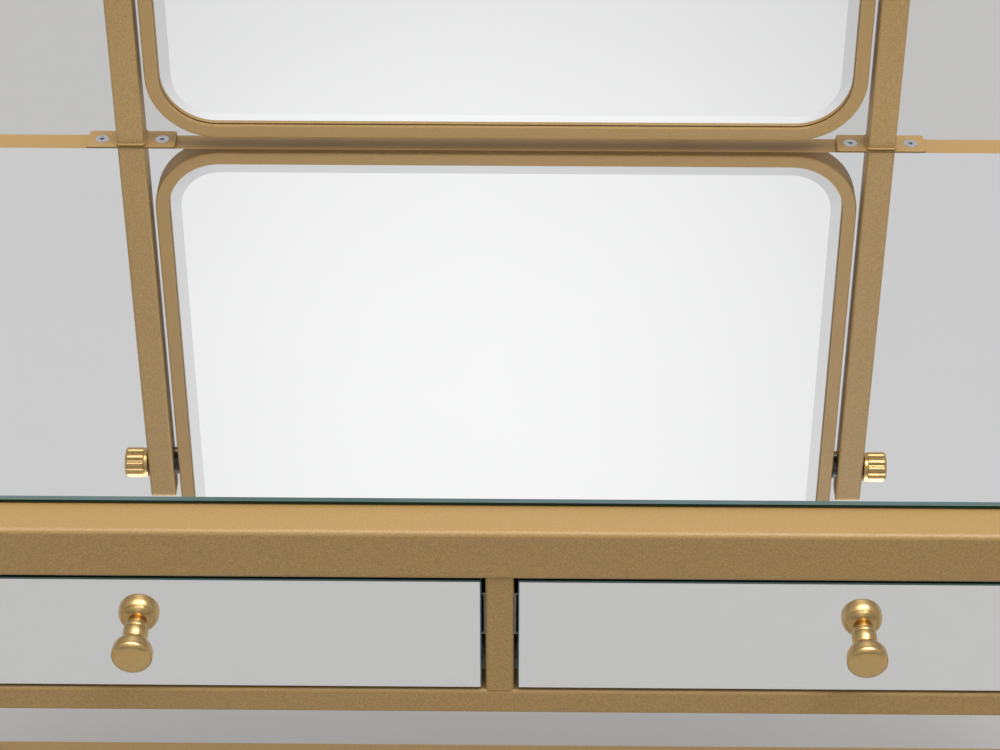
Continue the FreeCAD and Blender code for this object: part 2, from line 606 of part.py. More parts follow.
def drawer_bottom(name):
    slack = "2 * groove_fit"
    return box(name, inset(GROOVE_ACROSS, slack), (f"{FRONT_BACK} - groove_depth + {slack}", BOX_REAR),
               ("groove_bottom", "groove_bottom + hardboard_sheet"))


# A turned mushroom knob, drilled for its screw.
def drawer_knob(name):
    host = new_body(name)
    foot, neck, rim, face = "knob_foot / 2", "knob_neck / 2", "knob_width / 2", "knob_face / 2"
    profile = polygon(("0", "0"), (foot, "0"), (foot, "-knob_foot_rim"), (neck, "-knob_foot_height"),
                      (neck, "-knob_reach * 0.45"), (rim, "-knob_reach * 0.65"), (rim, "-knob_reach * 0.85"),
                      (face, "-knob_reach"), ("0", "-knob_reach"))
    feature = new_feature(host, "Revolution", new_sketch(host, "XY_Plane", "0", [profile]))
    feature.ReferenceAxis = (feature.Profile[0], ["V_Axis"])
    doc.recompute()
    pocket(host, "XZ_Plane", ("-knob_bore", "0"), circle(("0", "0"), "knob_thread + panel_fit"))
    for letter, text in zip("xyz", (DRAWER_MIDDLE, FRONT_FACE, "slide_level")):
        bind(host, f"Placement.Base.{letter}", text)
    return host


knob_screw = button_screw("knob_screw", "knob_thread", "knob_screw_length", "knob_screw_head",
                          "knob_screw_head_height", "knob_screw_socket")


def drawer_screws(name):
    box_set = copies(f"{name}_box", panel_screw, FRONT_SCREWS + BACK_SCREWS)
    knob_set = copies(f"{name}_knob", knob_screw, [(DRAWER_MIDDLE, FRONT_BACK, "slide_level", "rear")])
    return group(name, [box_set, knob_set])


# Slide members fill the space between the case and the box, one pair for each drawer.  Each is one
# rolled section, drawn as reach from the case face and height about the slide's middle line.
def channel(back, wall, tip, height):
    lip = f"({height} / 2 - slide_sheet)"
    return [(back, f"-{height} / 2"), (tip, f"-{height} / 2"), (tip, f"-{lip}"), (wall, f"-{lip}"),
            (wall, lip), (tip, lip), (tip, f"{height} / 2"), (back, f"{height} / 2")]


SLIDE_SECTIONS = {
    "outer": channel("0", "slide_sheet", "outer_tip", "outer_height"),
    "middle": [*channel("middle_near_tip", "middle_web + slide_sheet", "middle_far_tip", "middle_height"),
               ("middle_near_tip", "middle_height / 2 - slide_sheet"),
               ("middle_web", "middle_height / 2 - slide_sheet"),
               ("middle_web", "slide_sheet - middle_height / 2"),
               ("middle_near_tip", "slide_sheet - middle_height / 2")],
    "inner": channel("slide_space", "slide_space - slide_sheet", "inner_tip", "inner_height"),
}


def slide_member(name, section):
    outline = polygon(*[(f"{CASE_INNER} + {reach}", f"slide_level + {rise}") for reach, rise in section])
    member = prism(f"{name}_near", "XZ_Plane", ("case_front", "case_front + slide_length"), outline)
    return group(name, [member, mirrored(f"{name}_far", member, DRAWER_MIDDLE)])


DRAWER_PIECES = {
    "front": drawer_front, "front_mirror": drawer_front_mirror, "sides": drawer_sides, "back": drawer_back,
    "bottom": drawer_bottom, "knob": drawer_knob, "screws": drawer_screws,
}
for piece, make in DRAWER_PIECES.items():
    keep_pair(make, f"{{}}_drawer_{piece}")
for piece, section in SLIDE_SECTIONS.items():
    keep_pair(lambda name, section=section: slide_member(name, section), f"{{}}_slide_{piece}")

# Dressing mirror --------------------------------------------------------------------------------

PIVOT = ("pivot_depth", "pivot_level")
OUTER_ACROSS = ("-mirror_width / 2", "mirror_width / 2")
OUTER_UPWARD = ("mirror_bottom", "mirror_bottom + mirror_height")

LEFT_FLANGE_SCREWS = [(f"-({POST_MIDDLE}) + {step} * flange_screw_offset", "pivot_depth", FLANGE_TOP, "up")
                      for step in (-1, 1)]
FLANGE_SCREWS = both_sides(LEFT_FLANGE_SCREWS)
flange_screw = flat_screw("flange_screw", "flange_thread", "flange_screw_length", "flange_head",
                          socket="flange_socket")
flange_hole = flat_screw("flange_hole", "flange_thread", "flange_screw_length", "flange_head", "panel_fit")
flange_holes = copies("flange_holes", flange_hole, FLANGE_SCREWS)


# Posts: square tubes welded to flange plates, each with the pin that stops the tilt.
def mirror_post(name):
    across = (f"-({POST_OUTER})", f"-({POST_INNER})")
    depth = ("pivot_depth - post_size / 2", "pivot_depth + post_size / 2")
    host = tube(f"{name}_weldment", "XY_Plane", across, depth, (FLANGE_TOP, "post_top"), "post_wall",
                "post_corner")
    flange_across = (f"-({POST_MIDDLE}) - flange_width / 2", f"-({POST_MIDDLE}) + flange_width / 2")
    flange_span = ("pivot_depth - flange_depth / 2", "pivot_depth + flange_depth / 2")
    flange = rounded_rectangle(flange_across, flange_span, "post_corner")
    pad(host, "XY_Plane", ("frame_top", FLANGE_TOP), flange)
    pad(host, "YZ_Plane", (across[1], "-(mirror_width / 2 - stop_reach)"),
        circle(("pivot_depth", "pivot_level - stop_radius"), "stop_width"))
    pocket(host, "YZ_Plane", across, circle(PIVOT, "stud_thread + 2 * stud_fit"))
    return cut(name, host, flange_holes)


keep_pair(mirror_post, "mirror_post_{}")

HALF_POST = ("-post_size / 2", "post_size / 2")
cap = prism("cap", "XY_Plane", ("0", "cap_height"), rounded_rectangle(HALF_POST, HALF_POST, "post_corner"))
CAP_BORE = inset(HALF_POST, "post_wall + plug_fit")
pad(cap, "XY_Plane", ("-cap_plug", "0"), rounded_rectangle(CAP_BORE, CAP_BORE, "post_corner - post_wall"))
dress(cap, "Chamfer", lambda bound: bound.ZMin > number("cap_height") - 0.01, "cap_ease")
keep(copies("post_caps", cap, both_sides([(f"-({POST_MIDDLE})", "pivot_depth", "post_top", "up")])))
keep(copies("post_screws", flange_screw, FLANGE_SCREWS))

# Turn-button places round the back of the frame: across, level and the way each points inward.
WALL_MIDDLE = "mirror_width / 2 - mirror_side / 2"
SIDE_CLIPS = [(f"-({WALL_MIDDLE})", f"{MIRROR_MIDDLE_LEVEL} + {step} * mirror_height / 6")
              for step in (-1, 1)]
TOP_CLIP = ("-mirror_width / 4", "mirror_bottom + mirror_height - mirror_side / 2")
BOTTOM_CLIP = ("-mirror_width / 4", "mirror_bottom + mirror_side / 2")
CLIP_PLACES = both_sides([*SIDE_CLIPS, TOP_CLIP, BOTTOM_CLIP])
CLIP_SCREWS = [(across, f"{MIRROR_BACK} + clip_sheet", level, "rear") for across, level in CLIP_PLACES]
clip_screw = button_screw("clip_screw", "clip_thread", "clip_screw_length", "clip_head", "clip_head_height",
                          "clip_socket")
clip_drill = prism("clip_drill", "XY_Plane", ("-clip_screw_length - stud_fit", "1"),
                   circle(("0", "0"), "clip_thread + panel_fit"))
clip_holes = copies("clip_holes", clip_drill, CLIP_SCREWS)


# Deep frame with a front lip, bored for the studs; the grooves run round the pivot for the pins.
def mirror_frame(name):
    host = new_body(f"{name}_casting")
    pad(host, "XZ_Plane", (MIRROR_FRONT, MIRROR_BACK),
        rounded_rectangle(OUTER_ACROSS, OUTER_UPWARD, "mirror_corner"))
    dress(host, "Fillet", lambda bound: bound.YMax < number(MIRROR_FRONT) + 0.01, "mirror_lip / 2")
    pocket(host, "XZ_Plane", (MIRROR_FRONT, MIRROR_BACK),
           rounded_rectangle(inset(OUTER_ACROSS, "mirror_face"), inset(OUTER_UPWARD, "mirror_face"),
                             "mirror_corner - mirror_face"))
    pocket(host, "XZ_Plane", (RABBET, MIRROR_BACK),
           rounded_rectangle(inset(OUTER_ACROSS, "mirror_side"), inset(OUTER_UPWARD, "mirror_side"),
                             "mirror_corner - mirror_side"))
    pocket(host, "YZ_Plane", OUTER_ACROSS, circle(PIVOT, "stud_thread + 2 * stud_fit"))
    for sign in ("-", ""):
        reach = (f"{sign}(mirror_width / 2 - stop_slot_depth)", f"{sign}(mirror_width / 2 + 1)")
        rise = tuple(f"pivot_level - stop_radius {step} stop_slot_width / 2" for step in "-+")
        sketch = new_sketch(host, "XZ_Plane", "-pivot_depth", [rectangle(reach, rise)])
        ends = [FreeCAD.Vector(across, number("pivot_level"), 0) for across in (0, number(POST_INNER))]
        line = sketch.addGeometry(Part.LineSegment(*ends), True)
        sketch.addConstraint(Sketcher.Constraint("Horizontal", line))
        pin(sketch, line, 1, ("0", "pivot_level"))
        slot = new_feature(host, "Groove", sketch)
        slot.ReferenceAxis = (sketch, ["Axis0"])
        slot.Midplane = True
        bind(slot, "Angle", "stop_slot_angle")
        before = slot.BaseFeature.Shape.Volume
        doc.recompute()
        if slot.Shape.Volume > before - 0.01:
            raise ValueError("A stop slot cut nothing")
    return cut(name, host, clip_holes)


# Bevelled looking glass, its backing board, and the turn buttons that hold them.
GLASS_MARGIN = "mirror_side + glass_fit"
GLASS_OUTLINE = (inset(OUTER_ACROSS, GLASS_MARGIN), inset(OUTER_UPWARD, GLASS_MARGIN),
                 f"mirror_corner - ({GLASS_MARGIN})")


def mirror_glass(name):
    low = f"{RABBET} + glass_bed"
    host = prism(name, "XZ_Plane", (low, f"{low} + looking_glass"), rounded_rectangle(*GLASS_OUTLINE))
    dress(host, "Chamfer", lambda bound: bound.YMax < number(low) + 0.01, "looking_bevel_drop",
          "looking_bevel")
    return host


def mirror_backing(name):
    high = f"{MIRROR_BACK} - backing_gap"
    return prism(name, "XZ_Plane", (f"{high} - backing_thickness", high), rounded_rectangle(*GLASS_OUTLINE))


def mirror_clips(name):
    half = "clip_width / 2"
    tail = "mirror_side / 2"
    members = []
    for across, level in (*SIDE_CLIPS, TOP_CLIP, BOTTOM_CLIP):
        spans = [(f"{across} - {half}", f"{across} + {half}"), (f"{level} - {half}", f"{level} + {half}")]
        if (across, level) in SIDE_CLIPS:
            spans[0] = (f"{across} - {tail}", f"{across} - {tail} + clip_length")
        elif level == BOTTOM_CLIP[1]:
            spans[1] = (f"{level} - {tail}", f"{level} - {tail} + clip_length")
        else:
            spans[1] = (f"{level} + {tail} - clip_length", f"{level} + {tail}")
        button = prism(f"{name}_button", "XZ_Plane", (MIRROR_BACK, f"{MIRROR_BACK} + clip_sheet"),
                       rounded_rectangle(*spans, f"{tail} - 0.5"))
        members += [button, mirrored(f"{name}_button_image", button)]
    return cut(name, group(f"{name}_set", members), clip_holes)


keep(mirror_frame("mirror_frame"))
keep(mirror_glass("mirror_glass"))
keep(mirror_backing("mirror_backing"))
keep(mirror_clips("mirror_clips"))
keep(copies("clip_screws", clip_screw, CLIP_SCREWS))


# Friction washers between frame and post, and thin ones under the knobs.
def washer(name, width, span):
    return prism(name, "YZ_Plane", span, circle(PIVOT, width), circle(PIVOT, "stud_thread + 2 * stud_fit"))


WASHER_SPAN = ("mirror_width / 2 + washer_gap", f"{POST_INNER} - washer_gap")
THIN_WASHER_SPAN = (POST_OUTER, f"{POST_OUTER} + grip_gap - washer_gap")
washers = [washer("friction_washer", "washer_width", WASHER_SPAN),
           washer("thin_washer", "thin_washer_width", THIN_WASHER_SPAN)]
keep(group("friction_washers", washers + [mirrored(f"{item.Name}_image", item) for item in washers]))


# Clamp knobs: a fluted grip moulded on a stud that screws into the frame's wall.
def tilt_knob(name):
    host = new_body(name)
    inner = f"-({POST_OUTER} + grip_gap)"
    outer = f"{inner} - grip_length"
    pad(host, "YZ_Plane", (outer, inner), circle(PIVOT, "grip_width"))
    dress(host, "Fillet", lambda bound: bound.XMax < number(outer) + 0.01, "grip_flute / 2")
    flutes = []
    for turn in range(8):
        reach = "(grip_width / 2 + grip_flute * 0.3)"
        middle = (f"pivot_depth + {reach} * cos({45 * turn})", f"pivot_level + {reach} * sin({45 * turn})")
        flutes.append(circle(middle, "grip_flute"))
    pocket(host, "YZ_Plane", (outer, f"{inner} - grip_collar"), *flutes)
    pad(host, "YZ_Plane", (inner, "-stud_end"), circle(PIVOT, "stud_thread"))
    return host


keep_pair(tilt_knob, "tilt_knob_{}")

# Checks and files -------------------------------------------------------------------------------

doc.recompute()
for item in doc.Objects:
    if "Invalid" in item.State or "Error" in item.State:
        raise ValueError(f"{item.Name}: {item.State}")
for node in nodes:
    if node.Shape.isNull() or not node.Shape.isValid() or not node.Shape.Solids:
        raise ValueError(f"{node.Label}: no sound solid")

os.makedirs("parts", exist_ok=True)
for node in nodes:
    node.Shape.exportStep(f"parts/{node.Label}.step")
    bound = node.Shape.BoundBox
    print(f"{node.Label:24s} {len(node.Shape.Solids):3d} solids  x {bound.XMin:8.1f} {bound.XMax:8.1f}"
          f"  y {bound.YMin:8.1f} {bound.YMax:8.1f}  z {bound.ZMin:8.1f} {bound.ZMax:8.1f}")
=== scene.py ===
import bmesh
import bpy
import json
from math import atan, atan2, cos, pi, radians, sin
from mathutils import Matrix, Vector


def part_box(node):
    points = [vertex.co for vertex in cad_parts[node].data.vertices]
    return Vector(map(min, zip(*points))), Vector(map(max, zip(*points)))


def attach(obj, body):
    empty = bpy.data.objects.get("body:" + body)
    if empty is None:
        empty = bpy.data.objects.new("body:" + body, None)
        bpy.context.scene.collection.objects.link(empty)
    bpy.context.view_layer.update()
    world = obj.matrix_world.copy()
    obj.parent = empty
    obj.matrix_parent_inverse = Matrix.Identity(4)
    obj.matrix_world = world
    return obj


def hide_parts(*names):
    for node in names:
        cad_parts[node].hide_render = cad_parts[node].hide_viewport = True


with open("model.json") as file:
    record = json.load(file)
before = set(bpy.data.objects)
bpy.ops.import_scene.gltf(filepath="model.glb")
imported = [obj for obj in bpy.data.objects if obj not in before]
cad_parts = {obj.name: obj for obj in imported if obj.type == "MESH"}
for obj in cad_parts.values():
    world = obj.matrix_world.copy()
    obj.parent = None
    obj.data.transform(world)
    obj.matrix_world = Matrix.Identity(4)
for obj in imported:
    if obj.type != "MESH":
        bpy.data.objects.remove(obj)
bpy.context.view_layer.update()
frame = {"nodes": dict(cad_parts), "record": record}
nodes = frame["nodes"]
mm = 0.001
# how nearly an edge runs along an axis, a face looks along it, and a point lies where it should
near = {"along": 0.99, "facing": 0.9, "touch": mm / 1000}
print("frame loaded:", len(nodes), "nodes")


# small tools
def choose(piece):
    bpy.ops.object.select_all(action="DESELECT")
    if piece:
        piece.select_set(True)
        bpy.context.view_layer.objects.active = piece


def startEdit(piece):
    choose(piece)
    bpy.ops.object.mode_set(mode="EDIT")


def endEdit():
    bpy.ops.object.mode_set(mode="OBJECT")


def pick(kind, wanted):
    # selects the faces or edges that pass a test
    bpy.ops.mesh.select_all(action="DESELECT")
    bpy.ops.mesh.select_mode(type=kind)
    mesh = bmesh.from_edit_mesh(bpy.context.object.data)
    for element in (mesh.faces if kind == "FACE" else mesh.edges):
        element.select = bool(wanted(element))
    mesh.select_flush_mode()
    bmesh.update_edit_mesh(bpy.context.object.data)


def alongAxis(axis):
    def wanted(edge):
        run = edge.verts[1].co - edge.verts[0].co
        return abs(run[axis]) > near["along"] * run.length
    return wanted


def facing(axis, sign):
    def wanted(face):
        return face.normal[axis] * sign > near["facing"]
    return wanted


def endingAt(axis, ends):
    def wanted(edge):
        return any(all(abs(vertex.co[axis] - end) < near["touch"] for vertex in edge.verts) for end in ends)
    return wanted


def settle(name):
    # puts a new piece's place into its mesh and names it
    bpy.ops.object.transform_apply(location=True, rotation=True, scale=True)
    piece = bpy.context.object
    piece.name = name
    piece.data.name = name
    return piece


def addBlock(name, low, high):
    choose(None)
    low, high = Vector(low), Vector(high)
    bpy.ops.mesh.primitive_cube_add(size=1, location=(low + high) / 2, scale=high - low)
    return settle(name)


def bevelEdges(piece, wanted, size, rounds):
    startEdit(piece)
    pick("EDGE", wanted)
    bpy.ops.mesh.bevel(offset=size, segments=rounds, affect="EDGES")
    endEdit()


def applyModifier(piece, kind, **settings):
    choose(piece)
    modifier = piece.modifiers.new(kind.title(), kind)
    for key, value in settings.items():
        setattr(modifier, key, value)
    bpy.ops.object.modifier_apply(modifier=modifier.name)


def smooth(piece, angle=40):
    # rounded corners shade smoothly and flat faces stay flat
    choose(piece)
    bpy.ops.object.shade_smooth_by_angle(angle=radians(angle))
    applyModifier(piece, "WEIGHTED_NORMAL", keep_sharp=True, weight=100)


def finishPiece(piece, body, slot, material, *replaced):
    if not piece.data.materials:
        piece.data.materials.append(material)
    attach(piece, body)
    if replaced:
        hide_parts(*replaced)


# materials
def newMaterial(name, **values):
    material = bpy.data.materials.new(name)
    material.use_nodes = True
    shader = material.node_tree.nodes["Principled BSDF"]
    for key, value in values.items():
        shader.inputs[key.replace("_", " ")].default_value = value
    return material, material.node_tree, shader


def addNode(tree, kind, **values):
    node = tree.nodes.new(kind)
    for key, value in values.items():
        setattr(node, key, value)
    return node


def grain(tree, scale, detail=2.0, stretch=(1, 1, 1)):
    place = addNode(tree, "ShaderNodeTexCoord")
    mapping = addNode(tree, "ShaderNodeMapping")
    mapping.inputs["Scale"].default_value = stretch
    texture = addNode(tree, "ShaderNodeTexNoise")
    texture.inputs["Scale"].default_value = scale
    texture.inputs["Detail"].default_value = detail
    tree.links.new(place.outputs["Object"], mapping.inputs["Vector"])
    tree.links.new(mapping.outputs["Vector"], texture.inputs["Vector"])
    return texture.outputs["Fac"]


def ramp(tree, source, low, high, start=0.3, end=0.7):
    node = addNode(tree, "ShaderNodeValToRGB")
    node.color_ramp.elements[0].position = start
    node.color_ramp.elements[0].color = (*low, 1)
    node.color_ramp.elements[1].position = end
    node.color_ramp.elements[1].color = (*high, 1)
    tree.links.new(source, node.inputs["Fac"])
    return node.outputs["Color"]


def spread(tree, source, low, high):
    node = addNode(tree, "ShaderNodeMapRange")
    node.inputs["To Min"].default_value = low
    node.inputs["To Max"].default_value = high
    tree.links.new(source, node.inputs["Value"])
    return node.outputs["Result"]


def bump(tree, shader, source, height, before=None):
    node = addNode(tree, "ShaderNodeBump")
    node.inputs["Distance"].default_value = height
    tree.links.new(source, node.inputs["Height"])
    if before:
        tree.links.new(before, node.inputs["Normal"])
    tree.links.new(node.outputs["Normal"], shader.inputs["Normal"])
    return node.outputs["Normal"]


# a satin coat with fine metal flakes, on a faint orange peel
goldCoat = {
    "light": (0.504, 0.307, 0.098), "dark": (0.316, 0.192, 0.060), "metallic": 0.06, "gloss": 0.75,
    "smoothest": 0.42, "roughest": 0.54, "roughScale": 60.0, "roughDetail": 3.0,
    "flakeScale": 1500.0, "flakeDetail": 1.0, "flakeHeight": 0.00002,
    "peelScale": 160.0, "peelHeight": 0.00002,
}


def makeGoldCoat():
    material, tree, shader = newMaterial("goldCoat", Metallic=goldCoat["metallic"],
                                         Specular_IOR_Level=goldCoat["gloss"])
    flakes = grain(tree, goldCoat["flakeScale"], goldCoat["flakeDetail"])
    tree.links.new(ramp(tree, flakes, goldCoat["dark"], goldCoat["light"]), shader.inputs["Base Color"])
    patches = grain(tree, goldCoat["roughScale"], goldCoat["roughDetail"])
    rough = spread(tree, patches, goldCoat["smoothest"], goldCoat["roughest"])
    tree.links.new(rough, shader.inputs["Roughness"])
    peel = bump(tree, shader, grain(tree, goldCoat["peelScale"]), goldCoat["peelHeight"])
    bump(tree, shader, flakes, goldCoat["flakeHeight"], peel)
    return material


# each of these is one fine pattern between two tones, which also varies its gloss and relief
pattern = {"detail": 3.0, "swing": 0.15}
finishes = {
    "goldPlate": {"color": (0.70, 0.48, 0.21), "darker": (0.64, 0.43, 0.18), "roughness": 0.24,
                  "scale": 220.0, "height": 0.000003, "metallic": 1.0},
    "zincPlate": {"color": (0.62, 0.63, 0.66), "darker": (0.52, 0.53, 0.56), "roughness": 0.30,
                  "scale": 300.0, "height": 0.000006, "metallic": 1.0},
    "slideSteel": {"color": (0.58, 0.59, 0.61), "darker": (0.48, 0.49, 0.52), "roughness": 0.34,
                   "scale": 120.0, "height": 0.000006, "metallic": 1.0, "stretch": (1, 0.08, 1)},
    "blackNylon": {"color": (0.022, 0.022, 0.024), "darker": (0.014, 0.014, 0.015), "roughness": 0.5,
                   "scale": 900.0, "height": 0.00002},
    "clearSilicone": {"color": (0.10, 0.11, 0.105), "darker": (0.07, 0.08, 0.075), "roughness": 0.45,
                      "scale": 400.0, "height": 0.00001},
    "whiteLacquer": {"color": (0.80, 0.80, 0.785), "darker": (0.775, 0.775, 0.76), "roughness": 0.33,
                     "scale": 260.0, "height": 0.000006},
    "hardboard": {"color": (0.30, 0.185, 0.10), "darker": (0.20, 0.12, 0.062), "roughness": 0.6,
                  "scale": 900.0, "height": 0.00003},
    "bareBoard": {"color": (0.46, 0.33, 0.21), "darker": (0.36, 0.25, 0.155), "roughness": 0.75,
                  "scale": 1200.0, "height": 0.00003},
    "backPaint": {"color": (0.006, 0.012, 0.005), "darker": (0.004, 0.008, 0.003), "roughness": 0.7,
                  "scale": 300.0, "height": 0.00001},
}


def makeGrained(name, color, darker, roughness, scale, height, metallic=0.0, stretch=(1, 1, 1)):
    material, tree, shader = newMaterial(name, Metallic=metallic)
    tones = grain(tree, scale, pattern["detail"], stretch)
    tree.links.new(ramp(tree, tones, darker, color), shader.inputs["Base Color"])
    rough = spread(tree, tones, roughness * (1 - pattern["swing"]), roughness * (1 + pattern["swing"]))
    tree.links.new(rough, shader.inputs["Roughness"])
    bump(tree, shader, tones, height)
    return material


silver = {"light": (0.932, 0.935, 0.934), "dark": (0.926, 0.929, 0.928), "roughness": 0.012,
          "hazeScale": 14.0}


def makeSilver():
    material, tree, shader = newMaterial("mirrorSilver", Metallic=1.0, Roughness=silver["roughness"])
    haze = grain(tree, silver["hazeScale"])
    tree.links.new(ramp(tree, haze, silver["dark"], silver["light"]), shader.inputs["Base Color"])
    return material


# ground glass, with soft streaks along its length
streaks = {"detail": 4.0, "stretch": (1, 1, 12)}
glassZones = {
    # the arris tone is the green tint of the glass lightened by a painted reflection of the bright sky above
    # it
    "glassArrisPaintedSkyReflection": {"light": (0.125, 0.188, 0.182), "dark": (0.065, 0.118, 0.113), "roughness": 0.35,
                   "scale": 7.0, "gloss": 0.2},
    "glassEdge": {"light": (0.014, 0.040, 0.030), "dark": (0.006, 0.022, 0.012), "roughness": 0.25,
                  "scale": 11.0, "gloss": 0.1},
}


def makeGlassZone(name, light, dark, roughness, scale, gloss):
    material, tree, shader = newMaterial(name, Roughness=roughness, Specular_IOR_Level=gloss)
    tones = grain(tree, scale, streaks["detail"], streaks["stretch"])
    tree.links.new(ramp(tree, tones, dark, light), shader.inputs["Base Color"])
    return material


materials = {"goldCoat": makeGoldCoat(), "mirrorSilver": makeSilver()}
for name, values in finishes.items():
    materials[name] = makeGrained(name, **values)
for name, values in glassZones.items():
    materials[name] = makeGlassZone(name, **values)

slotFinishes = {
    "gold_powder_coat": "goldCoat", "gold_plating": "goldPlate", "zinc_steel": "zincPlate",
    "slide_steel": "slideSteel", "black_nylon": "blackNylon", "clear_silicone": "clearSilicone",
    "mirror_silver": "mirrorSilver", "white_lacquer": "whiteLacquer", "hardboard": "hardboard",
    "raw_board": "bareBoard",
}
for entry in frame["record"]["subparts"]:
    for place in nodes[entry["node"]].material_slots:
        place.material = materials[slotFinishes[entry["material_slot"]]]
print("materials made")


# floor, light and camera
room = {"floorSize": 60.0, "floorColor": (0.42, 0.417, 0.41), "floorRoughness": 0.7,
        "speckleScale": 30.0, "speckleDetail": 3.0, "speckleShade": 0.985}


def makeFloor():
    choose(None)
    bpy.ops.mesh.primitive_plane_add(size=room["floorSize"], location=(0, 0, 0))
    floor = settle("studioFloor")
    material, tree, shader = newMaterial("studioFloor", Roughness=room["floorRoughness"])
    tint = room["floorColor"]
    shade = tuple(value * room["speckleShade"] for value in tint)
    speckle = grain(tree, room["speckleScale"], room["speckleDetail"])
    tree.links.new(ramp(tree, speckle, shade, tint), shader.inputs["Base Color"])
    floor.data.materials.append(material)


# the sky brightens with height and, low down, towards the rear
# one soft glow stands high in front and one overhead
sky = {"heights": (0, 20, 45, 90), "levels": (0.45, 0.50, 0.61, 0.87), "rearLift": 0.36}
glows = {
    "front": {"rise": 35.5, "side": -1.2, "level": 0.545, "tightness": 36.0},
    "top": {"rise": 83.0, "side": 10.0, "level": 4.0, "tightness": 14.0},
}


def makeSky():
    world = bpy.data.worlds.new("studio")
    bpy.context.scene.world = world
    world.use_nodes = True
    tree = world.node_tree
    link = tree.links.new
    place = addNode(tree, "ShaderNodeTexCoord").outputs["Generated"]

    def toward(direction):
        node = addNode(tree, "ShaderNodeVectorMath", operation="DOT_PRODUCT")
        link(place, node.inputs[0])
        node.inputs[1].default_value = direction
        return node.outputs["Value"]

    def math(operation, *values):
        node = addNode(tree, "ShaderNodeMath", operation=operation)
        for socket, value in zip(node.inputs, values):
            if isinstance(value, (int, float)):
                socket.default_value = value
            else:
                link(value, socket)
        return node.outputs["Value"]

    shade = addNode(tree, "ShaderNodeValToRGB")
    brightest = max(sky["levels"])
    marks = shade.color_ramp.elements
    while len(marks) < len(sky["levels"]):
        marks.new(0.5)
    for mark, height, level in zip(marks, sky["heights"], sky["levels"]):
        mark.position = sin(radians(height))
        mark.color = (level / brightest,) * 3 + (1,)
    link(toward((0, 0, 1)), shade.inputs["Fac"])
    lowness = math("SUBTRACT", 1.0, toward((0, 0, 1)))
    lift = math("MULTIPLY_ADD", math("MULTIPLY", toward((0, 1, 0)), lowness), sky["rearLift"], 1.0)
    total = math("MULTIPLY", math("MULTIPLY", shade.outputs["Color"], brightest), lift)
    for glow in glows.values():
        rise, side = radians(glow["rise"]), radians(glow["side"])
        aligned = toward((sin(side) * cos(rise), -cos(side) * cos(rise), sin(rise)))
        spot = math("POWER", math("MAXIMUM", aligned, 0.0), glow["tightness"])
        total = math("MULTIPLY_ADD", spot, glow["level"], total)
    link(total, tree.nodes["Background"].inputs["Strength"])
    tree.nodes["Background"].inputs["Color"].default_value = (1, 1, 1, 1)


keyLamp = {"place": (1.2, -1.2, 4.1), "aim": (0, 0, 0.75), "size": 1.4, "power": 32.0}


def makeKeyLamp():
    choose(None)
    bpy.ops.object.light_add(type="AREA", location=keyLamp["place"])
    light = bpy.context.object
    light.name = "keyLamp"
    light.data.shape = "DISK"
    light.data.size = keyLamp["size"]
    light.data.energy = keyLamp["power"]
    beam = Vector(keyLamp["aim"]) - Vector(keyLamp["place"])
    light.rotation_euler = beam.to_track_quat("-Z", "Y").to_euler()


lens = {"focal": 101.5, "sensor": 36.0, "distance": 1.741, "rise": 40.0, "side": 0.6, "below": 0.04455}


def makeCamera():
    # looks down on the front arris of the top, which runs a little below the middle of the view
    low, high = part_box("mirror_top")
    edge = Vector((0, low[1], high[2]))
    turn, rise = radians(lens["side"]), radians(lens["rise"])
    back = Vector((sin(turn) * cos(rise), -cos(turn) * cos(rise), sin(rise)))
    camera = bpy.data.cameras.new("camera")
    viewer = bpy.data.objects.new("camera", camera)
    bpy.context.scene.collection.objects.link(viewer)
    camera.lens = lens["focal"]
    camera.sensor_width = lens["sensor"]
    viewer.location = edge + back * lens["distance"]
    viewer.rotation_euler = (pi / 2 - rise + atan(lens["below"]), 0, turn)
    bpy.context.scene.camera = viewer


makeFloor()
makeSky()
makeKeyLamp()
makeCamera()
bpy.context.scene.view_settings.view_transform = "Standard"
print("stage set")


# gold tube frame, each bar with its axis and the corner it takes
tubeStyle = {"corner": 3.5 * mm, "barCorner": 2.5 * mm, "postCorner": 2 * mm, "rounds": 7,
             "endEase": 0.35 * mm, "endRounds": 2}
bars = {
    "top_rail_front": (0, "corner"), "top_rail_rear": (0, "corner"), "top_rail_left": (1, "corner"),
    "top_rail_right": (1, "corner"), "leg_front_left": (2, "corner"), "leg_front_right": (2, "corner"),
    "leg_rear_left": (2, "corner"), "leg_rear_right": (2, "corner"), "side_stretcher_left": (1, "barCorner"),
    "side_stretcher_right": (1, "barCorner"), "rear_stretcher": (0, "barCorner"),
    "apron_rail_front": (0, "barCorner"), "apron_rail_rear": (0, "barCorner"),
    "apron_mullion": (2, "barCorner"),
}
ringLow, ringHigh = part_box("top_rail_left")[0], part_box("top_rail_right")[1]
ringMiddle = (Vector(ringLow) + Vector(ringHigh)) / 2


def cutMitres(rail, axis):
    # both ends are cut at 45 degrees, the outer face staying the longer
    low, high = (Vector(corner) for corner in (rail.bound_box[0], rail.bound_box[6]))
    middle = (low + high) / 2
    outer = ringLow[1 - axis] if middle[1 - axis] < ringMiddle[1 - axis] else ringHigh[1 - axis]
    startEdit(rail)
    for end in (ringLow[axis], ringHigh[axis]):
        corner = Vector((0, 0, 0))
        corner[axis], corner[1 - axis] = end, outer
        inward = Vector((0, 0, 0))
        inward[axis] = 1 if end < ringMiddle[axis] else -1
        inward[1 - axis] = 1 if outer < ringMiddle[1 - axis] else -1
        across = Vector((inward.y, -inward.x, 0))
        if across[axis] * inward[axis] > 0:
            across.negate()
        bpy.ops.mesh.select_all(action="SELECT")
        bpy.ops.mesh.bisect(plane_co=corner, plane_no=across, use_fill=True, clear_outer=True)
    endEdit()


